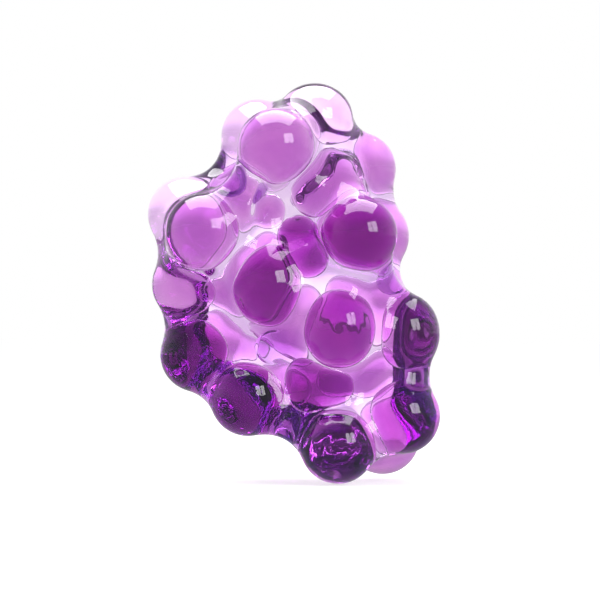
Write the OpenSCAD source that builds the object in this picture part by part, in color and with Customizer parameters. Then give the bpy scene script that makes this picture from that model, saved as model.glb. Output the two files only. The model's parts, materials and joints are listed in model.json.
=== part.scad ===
// Squeezable stress ball: a thin clear elastomer skin, filled with soft gel
// beads and closed with a small stopper. It is modelled as it is while a hand
// squeezes it, with the beads pushed up between the fingers.
// Millimetres. X to the right, Y away from the viewer, Z up. The origin is
// under the middle of the ball, at the height of its lowest point.

/* [Beads] */
// Diameter of one gel bead, left to itself
bead_d = 18; // [14:0.5:22]
// Gap that stays between two neighbouring beads
bead_gap = 0.4; // [0.4:0.1:1.2]
// How far a bead can be pressed towards the middle of the ball
press_travel = 2; // [0.5:0.25:2]

/* [Skin] */
// Thickness of the stretched skin
skin_wall = 0.5; // [0.4:0.1:1.2]
// Gap between a bead and the skin over it
skin_gap = 0.25; // [0.2:0.05:0.6]
// Angle from a bead's top at which the skin lets go of the bead
wrap_angle = 60; // [40:1:64]
// Radius that softens the valleys between two beads
web_softness = 1.6; // [0.6:0.1:3]
// How tightly the skin spans the hollows, in rounds of drawing it up
stretch = 4; // [0:0.5:12]

/* [Filling port] */
// Bore that the beads are put in through
bore_d = 4; // [3:0.5:5]
// Width of the shoulder that the stopper's flange sits on
shoulder = 1; // [0.6:0.1:1.4]
// Wall of the port round the flange
port_wall = 1; // [0.6:0.1:1.4]
// Length of the port, from its rim inwards
port_length = 4.5; // [3.5:0.25:6]
// How far the port's rim stands out of the skin
port_rise = 0.4; // [0.2:0.1:1]

/* [Stopper] */
// Thickness of the flange
flange_t = 1.2; // [0.8:0.1:2]
// How far the lip behind the port stands out of the bore
lip = 0.6; // [0.3:0.1:1]
// Thickness of the lip
lip_t = 1.2; // [0.8:0.1:2]
// Gap between the stopper and the port
fit_gap = 0.02; // [0.02:0.01:0.1]

/* [Hidden] */
// Steps of the skin's grid, round the ball and from pole to pole
turns = 60;
rises = 42;
// How far a flat facet of the skin dips inside the curve it stands for
facet_dip = 0.6;
// How far a cut runs past what it cuts
cut_over = 1;
$fn = 96;

pitch = bead_d + bead_gap;
inner_r = bead_d / 2 + skin_gap + facet_dip;
outer_r = inner_r + skin_wall;

// One row a bead: centre in pitches (X, Y, and Z above the lowest bead's
// centre), the way it is pressed along Y, and how the squeeze has changed its
// diameter along X, Y and Z.
round_form = [1, 1, 1];
BEADS = [
    // top lobe, above the index finger and the thumb
    ["top_right",      [ 0.32,  0.01, 4.76],  1, [1.03, 1, 0.96]],
    ["top_left",       [-0.52,  0.77, 4.54], -1, round_form],
    ["top_front",      [-0.25, -0.80, 4.33],  1, round_form],
    ["under_thumb",    [ 0.46, -0.26, 3.78],  1, round_form],
    ["top_back",       [ 0.98,  0.77, 4.05], -1, round_form],
    // left lobe, between the index and the middle finger
    ["left_tip",       [-1.59,  0.20, 3.37],  1, round_form],
    ["left_front",     [-1.30, -0.83, 3.10],  1, round_form],
    ["left_back",      [-0.63,  0.69, 3.48], -1, round_form],
    // middle of the ball
    ["thumb_side",     [ 0.96, -0.83, 3.05],  1, round_form],
    ["centre_upper",   [ 0.16,  0.12, 2.87],  1, round_form],
    ["right_back",     [ 1.17,  0.56, 3.05], -1, round_form],
    ["centre_front",   [-0.35, -0.75, 2.31],  1, [0.92, 0.96, 1.12]],
    ["left_middle",    [-1.52, -0.04, 2.34],  1, round_form],
    ["centre_back",    [-0.70,  0.77, 2.44], -1, round_form],
    ["right_inner",    [ 1.03,  0.44, 2.04],  1, round_form],
    // between the middle, ring and little fingers
    ["front",          [ 0.67, -0.86, 1.70],  1, [0.94, 0.96, 1.09]],
    ["right",          [ 1.63, -0.34, 1.62],  1, [0.92, 1.02, 1.08]],
    ["centre_lower",   [ 0.05,  0.42, 1.77], -1, round_form],
    ["left_lower",     [-1.39, -0.20, 1.31],  1, round_form],
    ["lower_back",     [-0.84,  0.86, 1.45], -1, round_form],
    ["ring_side",      [-0.65, -0.58, 0.68],  1, round_form],
    ["inner_lower",    [ 0.32, -0.28, 0.85],  1, round_form],
    ["back_lower",     [-0.09,  0.85, 0.77], -1, round_form],
    ["back_right",     [ 1.01,  0.67, 1.04], -1, round_form],
    // bottom lobe, below the little finger
    ["bottom_right",   [ 1.59, -0.50, 0.42],  1, round_form],
    ["bottom",         [ 0.65, -0.80, 0.00],  1, round_form],
    ["bottom_back",    [ 1.33,  0.67, 0.07], -1, round_form],
];

function centre(bead) =
    [bead[1].x * pitch, bead[1].y * pitch, bead[1].z * pitch + outer_r];
function pressed(bead) = centre(bead) + [0, bead[2] * press_travel, 0];

highest = max([for (bead = BEADS) centre(bead).z]);
heart = [0, 0, (outer_r + highest) / 2];

// The skin is a height over an egg round the beads, a little fuller than
// they are from front to back.
egg_puff = 6;
egg = [
    max([for (bead = BEADS) abs(centre(bead).x)]) + inner_r,
    max([for (bead = BEADS) abs(centre(bead).y)]) + inner_r + egg_puff,
    highest - heart.z + inner_r
];
function on_egg(rise, turn) = [
    heart.x + egg.x * cos(rise) * cos(turn),
    heart.y + egg.y * cos(rise) * sin(turn),
    heart.z + egg.z * sin(rise)
];
function egg_normal(rise, turn) =
    let (
        n = [
            cos(rise) * cos(turn) / egg.x, cos(rise) * sin(turn) / egg.y,
            sin(rise) / egg.z
        ]
    ) n / norm(n);

// The port stands in the hollow behind the upper lobe, square to the egg.
port_rise_angle = 34;
port_turn_angle = 83;
port_way = egg_normal(port_rise_angle, port_turn_angle);
port_foot = on_egg(port_rise_angle, port_turn_angle) - 0.25 * pitch * port_way;
flange_d = bore_d + 2 * shoulder;
port_d = flange_d + 2 * (fit_gap + port_wall);

// What the skin is drawn over: the centre of each bead where it lies, where it
// is pressed to, and its form. The last one is a dome that carries the port.
dome = port_foot - port_way * outer_r;
places = [
    for (bead = BEADS) [centre(bead), pressed(bead), bead[3]],
    [dome, dome, round_form]
];

// The skin follows a bead down to the wrap angle, and then leaves it straight.
function tent(miss, r) =
    miss < r * sin(wrap_angle)
        ? sqrt(r * r - miss * miss)
        : r * cos(wrap_angle) - (miss - r * sin(wrap_angle)) * tan(wrap_angle);

// Height of the tent over one centre, along the unit vector way, above the
// point from.
function height(from, way, centre, form, r) =
    let (
        w = [for (i = [0:2]) way[i] / form[i]],
        c = [for (i = [0:2]) (centre[i] - from[i]) / form[i]],
        near = (w * c) / (w * w),
        miss = norm(c - near * w)
    ) near + tent(miss, r) / norm(w);

// Height of the skin above a point of the egg: the tents joined, with softened
// valleys.
function draped(rise, turn, r) =
    let (
        from = on_egg(rise, turn),
        way = egg_normal(rise, turn),
        heights = [
            for (place = places)
                max([for (i = [0, 1]) height(from, way, place[i], place[2], r)])
        ],
        top = max(heights),
        shares = [for (h = heights) exp((h - top) / web_softness)],
        ones = [for (h = heights) 1]
    ) top + web_softness * ln(shares * ones);

// The skin is stretched over the hollows: in each round a point that lies lower
// than the mean of the four round it is drawn up to that mean. A last part of a
// round draws it up that part of the way. The poles stay.
function stretched(heights, rounds) =
    rounds <= 0 ? heights : let (share = min(rounds, 1)) stretched([
        for (i = [0:rises]) i % rises == 0 ? heights[i] : [
            for (j = [0:turns - 1])
                let (
                    here = heights[i][j],
                    beside = heights[i][(j + 1) % turns] + heights[i][(j + turns - 1) % turns],
                    along = heights[i - 1][j] + heights[i + 1][j]
                ) here + share * max(0, (beside + along) / 4 - here)
        ]
    ], rounds - share);

module lumpy_ball(r) {
    function rise(i) = -90 + 180 * i / rises;
    function turn(j) = 360 * j / turns;
    heights = stretched([
        for (i = [0:rises]) [for (j = [0:turns - 1]) draped(rise(i), turn(j), r)]
    ], stretch);
    function point(i, j) =
        on_egg(rise(i), turn(j)) + egg_normal(rise(i), turn(j)) * heights[i][j];
    bottom = turns * (rises - 1);
    function at(i, j) = (i - 1) * turns + j % turns;
    polyhedron(
        points = [
            for (i = [1:rises - 1], j = [0:turns - 1]) point(i, j),
            point(0, 0),
            point(rises, 0)
        ],
        faces = [
            for (j = [0:turns - 1]) each [
                [bottom, at(1, j), at(1, j + 1)],
                [bottom + 1, at(rises - 1, j + 1), at(rises - 1, j)]
            ],
            for (i = [1:rises - 2], j = [0:turns - 1]) each [
                [at(i, j), at(i + 1, j), at(i + 1, j + 1)],
                [at(i, j), at(i + 1, j + 1), at(i, j + 1)]
            ]
        ]
    );
}

// Children stand on the port's axis, with Z = 0 at its rim and Z outwards.
module at_port() {
    translate(port_foot + port_way * port_rise)
        rotate([0, acos(port_way.z), atan2(port_way.y, port_way.x)]) children();
}

module skin() {
    color("thistle")
    difference() {
        union() {
            difference() {
                lumpy_ball(outer_r);
                lumpy_ball(inner_r);
            }
            at_port() translate([0, 0, -port_length])
                cylinder(d = port_d, h = port_length);
        }
        at_port() {
            translate([0, 0, -port_length - cut_over])
                cylinder(d = bore_d, h = port_length + 2 * cut_over);
            translate([0, 0, -flange_t])
                cylinder(d = flange_d + 2 * fit_gap, h = flange_t + cut_over);
        }
    }
}

module plug() {
    shank_r = bore_d / 2 - fit_gap;
    lip_top = -port_length - fit_gap;
    color("orchid")
    at_port() rotate_extrude() polygon([
        [0, 0],
        [flange_d / 2, 0],
        [flange_d / 2, fit_gap - flange_t],
        [shank_r, fit_gap - flange_t],
        [shank_r, lip_top],
        [bore_d / 2 + lip, lip_top],
        [shank_r, lip_top - lip_t],
        [0, lip_top - lip_t]
    ]);
}

module bead(row) {
    color("mediumorchid")
    translate(centre(row)) scale(row[3]) sphere(d = bead_d);
}

skin();
plug();
for (row = BEADS) bead(row);
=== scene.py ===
"""Looks for a squeezed, bead-filled stress ball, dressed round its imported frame.

Metres, in the frame's own axes: X to the right, Y away from the viewer, Z up.
The ball is a clear elastomer skin, drawn tight over swollen gel beads, with a
filling port and its stopper at the back.
"""

import json
import math

import bpy
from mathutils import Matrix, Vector


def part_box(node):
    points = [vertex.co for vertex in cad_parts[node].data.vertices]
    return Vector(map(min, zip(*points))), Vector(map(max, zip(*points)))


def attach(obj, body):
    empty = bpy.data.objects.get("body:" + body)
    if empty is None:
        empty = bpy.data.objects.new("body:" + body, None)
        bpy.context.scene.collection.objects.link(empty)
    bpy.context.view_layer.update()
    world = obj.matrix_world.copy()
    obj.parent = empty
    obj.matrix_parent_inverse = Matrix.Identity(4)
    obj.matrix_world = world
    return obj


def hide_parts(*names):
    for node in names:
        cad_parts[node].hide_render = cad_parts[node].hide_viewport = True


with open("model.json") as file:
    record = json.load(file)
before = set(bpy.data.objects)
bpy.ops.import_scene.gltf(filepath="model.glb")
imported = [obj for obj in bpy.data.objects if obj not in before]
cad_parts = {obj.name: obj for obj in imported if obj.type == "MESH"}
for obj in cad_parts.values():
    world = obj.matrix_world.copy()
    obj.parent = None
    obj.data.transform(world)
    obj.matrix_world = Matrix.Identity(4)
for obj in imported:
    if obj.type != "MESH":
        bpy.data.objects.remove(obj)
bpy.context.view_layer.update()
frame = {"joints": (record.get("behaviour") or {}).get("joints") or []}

MM = 0.001

# ---------------------------------------------------------------- sizes
# How far the skin's outside and its inside stand off a bead, and the least wall
# that is left between the two.
SKIN_OUTSIDE = 1.2 * MM
SKIN_INSIDE = 0.35 * MM
LEAST_WALL = 0.45 * MM
# How far the bubbles round the beads are blown up before they are drawn back,
# which closes every gap narrower than twice this.
OUTSIDE_BUBBLE = 9 * MM
INSIDE_BUBBLE = 5.2 * MM
SKIN_GRAIN = 0.85 * MM
# Rounds of pulling the skin taut, how long each pull is, and how long each
# surface is smoothed at the end.
TAUT_ROUNDS = 8
TAUT_PULL = 12
LAST_SMOOTHING = 8
INSIDE_SMOOTHING = 10

# How finely a ball is divided: coarsely where it is only a mould.
MOULD_FINENESS = 4
BEAD_FINENESS = 6

# Two beads closer than this press a flat on each other, and so much room stays
# between a flat and the middle plane of the two.
TOUCHING = 20.5 * MM
FLAT_ROOM = 0.6 * MM

# Where the grip presses a flat on a bead, through the skin: the side it comes
# from, and how far from the bead's middle the flat is.
GRIPPED = {
    "bead_front": (0.1, -1.0, 0.15),
    "bead_right": (0.85, -0.55, 0.1),
    "bead_bottom_right": (1.0, -0.35, 0.0),
    "bead_centre_front": (-0.4, -1.0, 0.0),
}
GRIP_REACH = 8.0 * MM

# The filling port and its stopper, as the solids have them.
PORT_RADIUS = 4.02 * MM
SEAT_RADIUS = 3.02 * MM
BORE_RADIUS = 2.0 * MM
PORT_LENGTH = 4.5 * MM
FLANGE_RADIUS = 3.0 * MM
FLANGE_THICK = 1.2 * MM
SHANK_RADIUS = 1.98 * MM
LIP_RADIUS = 2.6 * MM
LIP_THICK = 1.2 * MM
MOULDED_EDGE = 0.12 * MM
ROUND_STEPS = 64
# The cut through the skin for the port: how far it lies inside the collar's
# wall, and how long it is.
CUT_INSET = 0.05 * MM
CUT_LENGTH = 18 * MM
# Edges sharper than this stay edges when a moulding is shaded.
SHARP_ANGLE = math.radians(40)

# How strongly each clear body bends light. The film is the thick clear liquid
# that the beads lie in: it has no piece, but it lies on the skin's inside.
TPR_IOR = 1.45
GEL_IOR = 1.36
FILM_IOR = 1.40


# ---------------------------------------------------------------- small tools
def only(*pieces):
    """Selects these objects and nothing else; the last one is the active one."""
    if bpy.context.mode != "OBJECT":
        bpy.ops.object.mode_set(mode="OBJECT")
    bpy.ops.object.select_all(action="DESELECT")
    for piece in pieces:
        piece.select_set(True)
    bpy.context.view_layer.objects.active = pieces[-1]


def named(name):
    """Names the object that an operator has just made, and gives it back."""
    piece = bpy.context.active_object
    piece.name = name
    piece.data.name = name
    return piece


def finish_with(piece, kind, **settings):
    """Adds a modifier with these settings and applies it."""
    only(piece)
    step = piece.modifiers.new(kind.lower(), kind)
    for key, value in settings.items():
        setattr(step, key, value)
    bpy.ops.object.modifier_apply(modifier=step.name)


def smooth(piece, rounds):
    """Evens out a surface, this many times over."""
    finish_with(piece, "SMOOTH", factor=0.5, iterations=rounds)


def pick(piece, domain, test):
    """Opens a piece in edit mode with the parts that pass this test selected."""
    only(piece)
    bpy.ops.object.mode_set(mode="EDIT")
    bpy.ops.mesh.select_mode(type="FACE" if domain == "polygons" else "VERT")
    bpy.ops.mesh.select_all(action="DESELECT")
    bpy.ops.object.mode_set(mode="OBJECT")
    for part in getattr(piece.data, domain):
        part.select = test(part)
    bpy.ops.object.mode_set(mode="EDIT")


def throw_away(piece):
    """Removes a helper object with its mesh."""
    mesh = piece.data
    bpy.data.objects.remove(piece)
    bpy.data.meshes.remove(mesh)


# ---------------------------------------------------------------- where the beads lie
class Bead:
    """A gel bead of the frame: where it lies, its half sizes and its travel.

    Its body and its node share a name.
    """

    def __init__(self, joint):
        self.body = joint["child"]
        self.node = self.body
        low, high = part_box(self.node)
        self.middle = (low + high) / 2
        self.half = (high - low) / 2
        self.travel = Vector(joint["axis"]) * joint["range_m"][1]


BEADS = [Bead(joint) for joint in frame["joints"]]


def add_ball(middle, half, fineness):
    """A ball of these half sizes, with its place in its mesh."""
    bpy.ops.mesh.primitive_ico_sphere_add(subdivisions=fineness, radius=1, location=middle)
    ball = bpy.context.active_object
    ball.scale = half
    bpy.ops.object.transform_apply(location=True, rotation=False, scale=True)
    return ball


# The port's axis, out of the ball, and the middle of its rim, which the top of
# the stopper's flange lies flush with.
PORT_WAY = Vector((0.0902, 0.9244, 0.3707)).normalized()
PORT_RIM = Vector([
    corner - FLANGE_RADIUS * math.sqrt(1 - share**2)
    for corner, share in zip(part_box("plug")[1], PORT_WAY)
])
# The dome of skin that carries the port, and from its middle to the port's rim.
DOME_RADIUS = 9.3 * MM
DOME_TO_RIM = 10.7 * MM

# Skin that stands by itself, with no bead under it: middle and half sizes, in
# millimetres. The pinch is the fold between the index finger and the thumb, from
# the upper lobe down to where it parts. The pockets are hollows between the beads
# that the skin spans.
PINCH = [
    [(-8.5, -15.0, 84.0), (1.0, 4.0, 3.5)],
    [(-10.2, -15.5, 79.0), (0.5, 5.0, 3.5)],
    [(-11.8, -15.5, 74.0), (0.4, 5.5, 3.5)],
    [(-13.2, -15.0, 69.0), (0.4, 5.5, 3.5)],
    [(-13.5, -14.5, 64.5), (0.8, 5.0, 3.0)],
    [(-10.5, -15.0, 61.0), (1.2, 4.0, 2.0)],
]
POCKETS = [
    [(-7.0, -3.0, 75.5), (6.0, 5.0, 6.5)],
    [(-2.0, -7.0, 70.0), (7.0, 5.0, 8.0)],
    [(13.0, 1.0, 17.0), (9.0, 9.0, 9.0)],
]


def bead_bubbles(name, stand_off):
    """The beads, where they lie and where they can be pressed to, fused with a margin."""
    margin = Vector.Fill(3, stand_off)
    balls = [
        add_ball(middle, bead.half + margin, MOULD_FINENESS)
        for bead in BEADS
        for middle in (bead.middle, bead.middle + bead.travel)
    ]
    balls += [
        add_ball(Vector(middle) * MM, Vector(half) * MM + margin, MOULD_FINENESS)
        for middle, half in PINCH + POCKETS
    ]
    dome = Vector.Fill(3, DOME_RADIUS)
    balls.append(add_ball(PORT_RIM - PORT_WAY * DOME_TO_RIM, dome + margin, MOULD_FINENESS))
    only(*balls)
    bpy.ops.object.join()
    bubbles = named(name)
    finish_with(bubbles, "REMESH", mode="VOXEL", voxel_size=SKIN_GRAIN, adaptivity=0)
    return bubbles


def taut_surface(name, stand_off, bubble):
    """A surface over the beads: bubbles drawn back, then pulled taut over the beads."""
    mould = bead_bubbles("bead_mould", stand_off)
    surface = bead_bubbles(name, stand_off + bubble)
    finish_with(surface, "DISPLACE", strength=-bubble, mid_level=0)
    finish_with(surface, "REMESH", mode="VOXEL", voxel_size=SKIN_GRAIN, adaptivity=0)
    for _ in range(TAUT_ROUNDS):
        smooth(surface, TAUT_PULL)
        finish_with(surface, "SHRINKWRAP", target=mould, wrap_mode="OUTSIDE")
    smooth(surface, LAST_SMOOTHING)
    throw_away(mould)
    return surface


def model_skin():
    """The skin: taut outside, and an inside that follows the beads more closely.

    A layer on the mesh, wet_side, is 1 on the inside, where the film lies on it.
    """
    outside = taut_surface("tpr_skin", SKIN_OUTSIDE, OUTSIDE_BUBBLE)
    inside = taut_surface("skin_inside", SKIN_INSIDE, INSIDE_BUBBLE)
    finish_with(inside, "SHRINKWRAP", target=outside, wrap_mode="INSIDE", offset=LEAST_WALL)
    smooth(inside, INSIDE_SMOOTHING)
    pick(inside, "polygons", lambda face: True)
    bpy.ops.mesh.flip_normals()
    bpy.ops.object.mode_set(mode="OBJECT")
    for surface, wet in ((outside, 0), (inside, 1)):
        only(surface)
        bpy.ops.geometry.color_attribute_add(
            name="wet_side", domain="POINT", data_type="FLOAT_COLOR", color=(wet, wet, wet, 1)
        )
    only(inside, outside)
    bpy.ops.object.join()
    skin = named("tpr_skin")
    bore = add_turned_blank("port_way_through", PORT_RADIUS - CUT_INSET, CUT_LENGTH, 0)
    stand_on_port(bore)
    finish_with(skin, "BOOLEAN", operation="DIFFERENCE", solver="EXACT", object=bore)
    throw_away(bore)
    only(skin)
    bpy.ops.object.shade_smooth()
    return skin


# ---------------------------------------------------------------- port and stopper
def add_turned_blank(name, radius, depth, middle):
    """A round blank that stands on the origin's Z axis."""
    bpy.ops.mesh.primitive_cylinder_add(
        vertices=ROUND_STEPS, radius=radius, depth=depth, location=(0, 0, middle)
    )
    bpy.ops.object.transform_apply(location=True, rotation=False, scale=False)
    return named(name)


def stand_on_port(piece):
    """Moves a piece from the origin to the port, with its Z = 0 at the port's rim."""
    only(piece)
    piece.rotation_mode = "QUATERNION"
    piece.rotation_quaternion = PORT_WAY.to_track_quat("Z", "Y")
    piece.location = PORT_RIM
    bpy.ops.object.transform_apply(location=True, rotation=True, scale=False)


def end_face(piece, way):
    """Opens a turned piece in edit mode with the round face of one end selected."""
    end = max(piece.data.polygons, key=lambda face: face.center.z * way).index
    pick(piece, "polygons", lambda face: face.index == end)


def push(length):
    """Draws the selected face out along Z."""
    bpy.ops.mesh.extrude_region_move(TRANSFORM_OT_translate={"value": (0, 0, length)})


def widen(share):
    """Widens the selected face in its own plane."""
    bpy.ops.transform.resize(value=(share, share, 1))


def round_edges(piece):
    """Breaks the sharp edges of a moulding, and smooths its round walls."""
    finish_with(piece, "BEVEL", width=MOULDED_EDGE, segments=3, limit_method="ANGLE")
    only(piece)
    bpy.ops.object.shade_smooth_by_angle(angle=SHARP_ANGLE)


def model_port():
    """The port's collar: a seat for the flange, and a bore right through."""
    collar = add_turned_blank("port_collar", PORT_RADIUS, PORT_LENGTH, -PORT_LENGTH / 2)
    end_face(collar, 1)
    bpy.ops.mesh.inset(thickness=PORT_RADIUS - SEAT_RADIUS)
    push(-FLANGE_THICK)
    bpy.ops.mesh.inset(thickness=SEAT_RADIUS - BORE_RADIUS)
    bpy.ops.mesh.delete(type="FACE")
    bpy.ops.object.mode_set(mode="OBJECT")
    end_face(collar, -1)
    bpy.ops.mesh.inset(thickness=PORT_RADIUS - BORE_RADIUS)
    bpy.ops.mesh.delete(type="FACE")
    bpy.ops.mesh.select_mode(type="EDGE")
    bpy.ops.mesh.select_all(action="DESELECT")
    bpy.ops.mesh.select_non_manifold()
    bpy.ops.mesh.bridge_edge_loops()
    bpy.ops.object.mode_set(mode="OBJECT")
    round_edges(collar)
    stand_on_port(collar)
    return collar


def model_stopper():
    """The stopper: a flange, a shank, and a lip that snaps out behind the bore."""
    stopper = add_turned_blank("filling_stopper", FLANGE_RADIUS, FLANGE_THICK, -FLANGE_THICK / 2)
    end_face(stopper, -1)
    bpy.ops.mesh.inset(thickness=FLANGE_RADIUS - SHANK_RADIUS)
    push(FLANGE_THICK - PORT_LENGTH)
    push(0)
    widen(LIP_RADIUS / SHANK_RADIUS)
    push(-LIP_THICK)
    widen(SHANK_RADIUS / LIP_RADIUS)
    bpy.ops.object.mode_set(mode="OBJECT")
    round_edges(stopper)
    stand_on_port(stopper)
    return stopper


# ---------------------------------------------------------------- gel beads
def press_flat(ball, middle, way, reach):
    """Presses the side of a ball that faces this way flat, this far from its middle."""
    pick(ball, "vertices", lambda vertex: (vertex.co - middle).dot(way) > reach)
    bpy.ops.transform.resize(
        value=(1, 1, 0),
        orient_matrix=way.to_track_quat("Z", "Y").to_matrix(),
        orient_matrix_type="GLOBAL",
        center_override=middle + way * reach,
    )
    bpy.ops.object.mode_set(mode="OBJECT")


def model_bead(bead):
    """A gel bead, with a flat where each neighbour or the hand presses on it."""
    add_ball(bead.middle, bead.half, BEAD_FINENESS)
    ball = named(bead.body.replace("bead_", "gel_"))
    if bead.body in GRIPPED:
        press_flat(ball, bead.middle, Vector(GRIPPED[bead.body]).normalized(), GRIP_REACH)
    for other in BEADS:
        apart = other.middle - bead.middle
        if other is not bead and apart.length < TOUCHING:
            press_flat(ball, bead.middle, apart.normalized(), apart.length / 2 - FLAT_ROOM)
    smooth(ball, LAST_SMOOTHING)
    only(ball)
    bpy.ops.object.shade_smooth()
    return ball


# ---------------------------------------------------------------- materials
# How wide the patches are in which a clear body's tint and its sheen wander.
TINT_PATCH = 9 * MM
SHEEN_PATCH = 6 * MM
# The range that most of a noise texture lies in.
NOISE_SPAN = (0.35, 0.65)


def linear(colour):
    """An sRGB hex colour as linear light."""
    parts = [int(colour[i : i + 2], 16) / 255 for i in (1, 3, 5)]
    return [c / 12.92 if c <= 0.04045 else ((c + 0.055) / 1.055) ** 2.4 for c in parts] + [1.0]


def add(tree, kind, settings=None, links=None):
    """Adds a node, sets its fields and sockets, and links its inputs."""
    node = tree.nodes.new(kind)
    for key, value in (settings or {}).items():
        if isinstance(key, int) or key in node.inputs:
            node.inputs[key].default_value = value
        else:
            setattr(node, key, value)
    for key, source in (links or {}).items():
        tree.links.new(source, node.inputs[key])
    return node


def empty_material(name):
    """A new material with nothing in its tree, and that tree."""
    material = bpy.data.materials.new(name)
    material.use_nodes = True
    material.node_tree.nodes.clear()
    return material, material.node_tree


def noise(tree, size, detail):
    """Cloudy noise of this size on the piece."""
    where = add(tree, "ShaderNodeTexCoord")
    cloud = add(tree, "ShaderNodeTexNoise", {"Scale": 1 / size, "Detail": detail}, {
        "Vector": where.outputs["Object"],
    })
    return cloud.outputs["Fac"]


def patches(tree, size, low, high):
    """A soft pattern of patches this wide, which runs from one value to the other."""
    return add(tree, "ShaderNodeMapRange", {
        "From Min": NOISE_SPAN[0], "From Max": NOISE_SPAN[1], "To Min": low, "To Max": high,
    }, {"Value": noise(tree, size, 2.0)}).outputs["Result"]


def ripples(tree, size, depth):
    """Shallow ripples this far apart and this deep, as a normal."""
    return add(tree, "ShaderNodeBump", {"Strength": 1.0, "Distance": depth}, {
        "Height": noise(tree, size, 1.0),
    }).outputs["Normal"]


def tinted(tree, tints, size):
    """A colour that wanders between two tints in patches this wide."""
    return add(tree, "ShaderNodeMix", {
        "data_type": "RGBA", 6: linear(tints[0]), 7: linear(tints[1]),
    }, {0: patches(tree, size, 0.0, 1.0)}).outputs[2]


def clear_body(name, tints, dry_ior, wet_ior, sheen, ripple, depth_colour, depth_density):
    """A clear body that colours light by the way it goes through it.

    tints and the patches they wander in, the roughness it runs between, and the
    size and depth of its ripples are those of the real material. The wet side of
    the skin bends light less, because the film lies on it.
    """
    material, tree = empty_material(name)
    wet = add(tree, "ShaderNodeAttribute", {"attribute_name": "wet_side"})
    bend = add(tree, "ShaderNodeMapRange", {"To Min": dry_ior, "To Max": wet_ior}, {
        "Value": wet.outputs["Fac"],
    })
    shader = add(tree, "ShaderNodeBsdfPrincipled", {"Transmission Weight": 1.0}, {
        "IOR": bend.outputs["Result"],
        "Base Color": tinted(tree, tints, TINT_PATCH),
        "Roughness": patches(tree, SHEEN_PATCH, *sheen),
        "Normal": ripples(tree, *ripple),
    })
    depth = add(tree, "ShaderNodeVolumeAbsorption", {
        "Color": linear(depth_colour),
        "Density": depth_density,
    })
    add(tree, "ShaderNodeOutputMaterial", {}, {
        "Surface": shader.outputs["BSDF"],
        "Volume": depth.outputs["Volume"],
    })
    return material


def clear_tpr():
    """Clear thermoplastic rubber, blown thin: glossy, lilac where it is seen edge
    on, with a slow ripple of the stretched wall and duller patches from handling."""
    return clear_body(
        "clear_lilac_tpr", ("#fffbff", "#f6ecfb"), TPR_IOR, TPR_IOR / FILM_IOR,
        (0.0, 0.05), (5 * MM, 0.01 * MM), "#d070e4", 100,
    )


def water_gel(dye_and_shade, density):
    """Water-swollen gel, dyed purple: wet and soft, so that it is darker through
    its middle than at its rim, and its surface is never quite even. How densely
    it absorbs is partly its own dye and partly painted shade."""
    return clear_body(
        dye_and_shade + "_water_gel", ("#fffaff", "#f3e2f6"), GEL_IOR / FILM_IOR,
        GEL_IOR / FILM_IOR, (0.0, 0.04), (3 * MM, 0.01 * MM), "#de6ce0", density,
    )


def milky_tpr():
    """Moulded rubber of the stopper: milky, with the dull skin of a spark-eroded mould."""
    material, tree = empty_material("milky_lilac_tpr")
    shader = add(tree, "ShaderNodeBsdfPrincipled", {"IOR": 1.48, "Transmission Weight": 0.35}, {
        "Base Color": tinted(tree, ("#e4cdea", "#d3b4dd"), 2 * MM),
        "Roughness": patches(tree, 1 * MM, 0.32, 0.45),
        "Normal": ripples(tree, 0.3 * MM, 0.02 * MM),
    })
    add(tree, "ShaderNodeOutputMaterial", {}, {"Surface": shader.outputs["BSDF"]})
    return material


# ---------------------------------------------------------------- scene
WHITE = (1, 1, 1, 1)
# The paper's own glow, its share in what the eye sees of the paper, and how
# bright the paper is in light that something has mirrored.
PAPER_GLOW = 1.36
GLOW_SHARE = 0.5
MIRRORED_PAPER = 0.55
# The light of the room: between which heights the ring of panels fades into the
# dimmer room above and below it, and how bright the two are.
RING_END = (0.3, 0.8)
RING_LIGHT = (1.0, 0.65)
# The share of that light that is left once something has mirrored it: where it
# starts to rise from the viewer's side to the far side and where it has, and from
# what share to what share.
MIRRORED_WAY = (-0.9, 0.5)
MIRRORED_LIGHT = (0.6, 0.95)
# The window on the viewer's right: its middle and its aim, half the way from one
# pane to the other, and the size and power of a pane.
WINDOW = Vector((0.61, -0.69, 0.42))
WINDOW_AIM = Vector((0, 0, 0.06))
PANE_STEP = Vector((0.75, 0.66, 0)) * 0.13
PANE_SIZE = (0.23, 0.5)
PANE_WATTS = 3.2
# The softbox above the ball.
OVERHEAD = Vector((0, 0.12, 0.48))
OVERHEAD_AIM = Vector((0, 0.12, 0.05))
OVERHEAD_SIZE = (0.55, 0.5)
OVERHEAD_WATTS = 5.5
# The camera, with the length of its lens and the width of its sensor in
# millimetres.
CAMERA_PLACE = (0.0019, -0.9, 0.0491)
CAMERA_LENS = 200
SENSOR_WIDTH = 36
# Light goes through many clear surfaces before it reaches the eye.
BOUNCES = 32


def seen_directly(tree):
    """1 for what the camera sees straight or through something clear, and 0 for light."""
    path = add(tree, "ShaderNodeLightPath")
    return add(tree, "ShaderNodeMath", {"operation": "MAXIMUM"}, {
        0: path.outputs["Is Camera Ray"], 1: path.outputs["Is Transmission Ray"],
    }).outputs["Value"]


def mirrored(tree):
    """1 for light that a surface has mirrored on its way, and 0 for the rest."""
    path = add(tree, "ShaderNodeLightPath")
    return add(tree, "ShaderNodeMath", {"operation": "MINIMUM", 1: 1.0}, {
        0: path.outputs["Glossy Depth"],
    }).outputs["Value"]


def ramp(tree, value, ends, levels):
    """Runs softly from the first level to the second while a value goes from end to end."""
    return add(tree, "ShaderNodeMapRange", {
        "interpolation_type": "SMOOTHSTEP",
        "From Min": ends[0], "From Max": ends[1], "To Min": levels[0], "To Max": levels[1],
    }, {"Value": value}).outputs["Result"]


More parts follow.
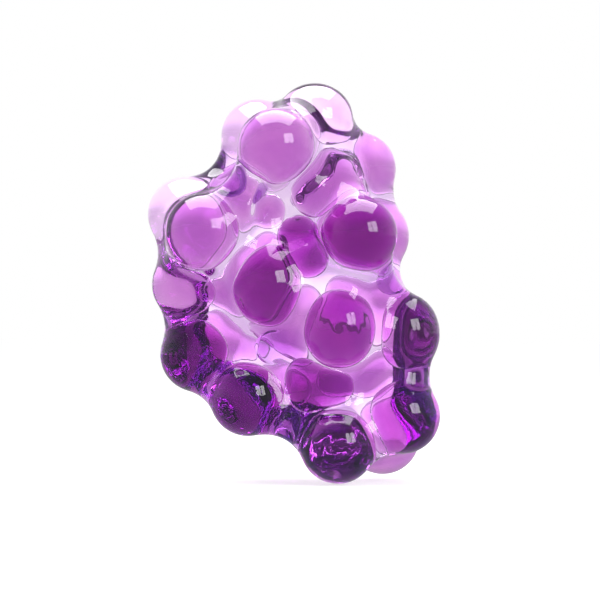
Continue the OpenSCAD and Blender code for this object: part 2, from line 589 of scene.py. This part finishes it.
def add_floor():
    """A sheet of white paper that keeps the shadow and shows white round it."""
    bpy.ops.mesh.primitive_plane_add(size=6, location=(0, 0, 0))
    floor = named("floor")
    material, tree = empty_material("white_paper_sweep")
    paper = add(tree, "ShaderNodeBsdfDiffuse", {"Color": linear("#ececec")})
    glow = add(tree, "ShaderNodeEmission", {"Color": WHITE, "Strength": PAPER_GLOW})
    share = add(tree, "ShaderNodeMath", {"operation": "MULTIPLY", 1: GLOW_SHARE}, {
        0: seen_directly(tree),
    })
    shown = add(tree, "ShaderNodeMixShader", {}, {
        0: share.outputs["Value"], 1: paper.outputs["BSDF"], 2: glow.outputs["Emission"],
    })
    dim = add(tree, "ShaderNodeEmission", {"Color": WHITE, "Strength": MIRRORED_PAPER})
    shader = add(tree, "ShaderNodeMixShader", {}, {
        0: mirrored(tree), 1: shown.outputs["Shader"], 2: dim.outputs["Emission"],
    })
    add(tree, "ShaderNodeOutputMaterial", {}, {"Surface": shader.outputs["Shader"]})
    floor.data.materials.append(material)


def add_world():
    """A ring of pale panels at the height of the ball, and a dimmer room above and below."""
    world = bpy.data.worlds.new("studio")
    bpy.context.scene.world = world
    world.use_nodes = True
    tree = world.node_tree
    tree.nodes.clear()
    where = add(tree, "ShaderNodeTexCoord")
    split = add(tree, "ShaderNodeSeparateXYZ", {}, {"Vector": where.outputs["Generated"]})
    height = add(tree, "ShaderNodeMath", {"operation": "ABSOLUTE"}, {0: split.outputs["Z"]})
    ring = ramp(tree, height.outputs["Value"], RING_END, RING_LIGHT)
    gloss = add(tree, "ShaderNodeMapRange", {"To Min": 1.0}, {
        "Value": mirrored(tree),
        "To Max": ramp(tree, split.outputs["Y"], MIRRORED_WAY, MIRRORED_LIGHT),
    })
    strength = add(tree, "ShaderNodeMath", {"operation": "MULTIPLY"}, {
        0: ring, 1: gloss.outputs["Result"],
    })
    room = add(tree, "ShaderNodeBackground", {"Color": WHITE}, {
        "Strength": strength.outputs["Value"],
    })
    paper = add(tree, "ShaderNodeBackground", {"Color": WHITE, "Strength": 1.0})
    path = add(tree, "ShaderNodeLightPath")
    seen = add(tree, "ShaderNodeMixShader", {}, {
        0: path.outputs["Is Camera Ray"],
        1: room.outputs["Background"],
        2: paper.outputs["Background"],
    })
    add(tree, "ShaderNodeOutputWorld", {}, {"Surface": seen.outputs["Shader"]})


def add_softbox(name, place, aim, size, watts):
    """A rectangle of light, which faces its aim."""
    light = bpy.data.lights.new(name, "AREA")
    light.shape = "RECTANGLE"
    light.size, light.size_y = size
    light.energy = watts
    lamp = bpy.data.objects.new(name, light)
    bpy.context.scene.collection.objects.link(lamp)
    lamp.location = place
    lamp.rotation_mode = "QUATERNION"
    lamp.rotation_quaternion = (aim - place).to_track_quat("-Z", "Y")


def add_camera():
    """A long lens in front of the ball, near the height of its middle, looking along Y."""
    lens = bpy.data.cameras.new("camera")
    lens.lens = CAMERA_LENS
    lens.sensor_width = SENSOR_WIDTH
    camera = bpy.data.objects.new("camera", lens)
    bpy.context.scene.collection.objects.link(camera)
    camera.location = CAMERA_PLACE
    camera.rotation_euler = (math.radians(90), 0, 0)
    bpy.context.scene.camera = camera


bpy.ops.object.select_all(action="DESELECT")

skin_finish = clear_tpr()
for piece in (model_skin(), model_port()):
    piece.data.materials.append(skin_finish)
    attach(piece, "shell")
    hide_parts("skin")

stopper = model_stopper()
stopper.data.materials.append(milky_tpr())
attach(stopper, "shell")
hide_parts("plug")

# How densely the gel of each level absorbs, and which beads have it. The rest are pale.
# The levels are partly the gels' own unequal dye and partly painted shade: the beads in
# the middle and under the grip are dyed deeper so that they read dark, as if shaded by
# the gripping hand, and the upper and left lobes are dyed clear, as if in open light.
DYE_AND_PAINTED_SHADE = {"clear": 16, "pale": 80, "purple": 95, "deep": 240}
GELS_BY_DYE_AND_SHADE = {depth: water_gel(depth, density) for depth, density in DYE_AND_PAINTED_SHADE.items()}
BEADS_BY_DYE_AND_SHADE = {
    "clear": ["top_right", "top_left", "left_tip"],
    "purple": ["right", "bottom_right", "bottom", "under_thumb"],
    "deep": [
        "thumb_side", "centre_upper", "centre_front", "front", "ring_side",
        "inner_lower", "left_lower",
    ],
}
for bead in BEADS:
    piece = model_bead(bead)
    place = bead.body.replace("bead_", "")
    # A bead's level is its dye and the painted shade given to it.
    tint = next((name for name, places in BEADS_BY_DYE_AND_SHADE.items() if place in places), "pale")
    piece.data.materials.append(GELS_BY_DYE_AND_SHADE[tint])
    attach(piece, bead.body)
    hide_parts(bead.node)

add_floor()
add_world()
add_softbox("overhead", OVERHEAD, OVERHEAD_AIM, OVERHEAD_SIZE, OVERHEAD_WATTS)
for across in (-PANE_STEP, PANE_STEP):
    add_softbox("window_pane", WINDOW + across, WINDOW_AIM + across, PANE_SIZE, PANE_WATTS)
add_camera()

scene = bpy.context.scene
scene.view_settings.view_transform = "Standard"
scene.cycles.max_bounces = BOUNCES
scene.cycles.transmission_bounces = BOUNCES
scene.cycles.glossy_bounces = BOUNCES
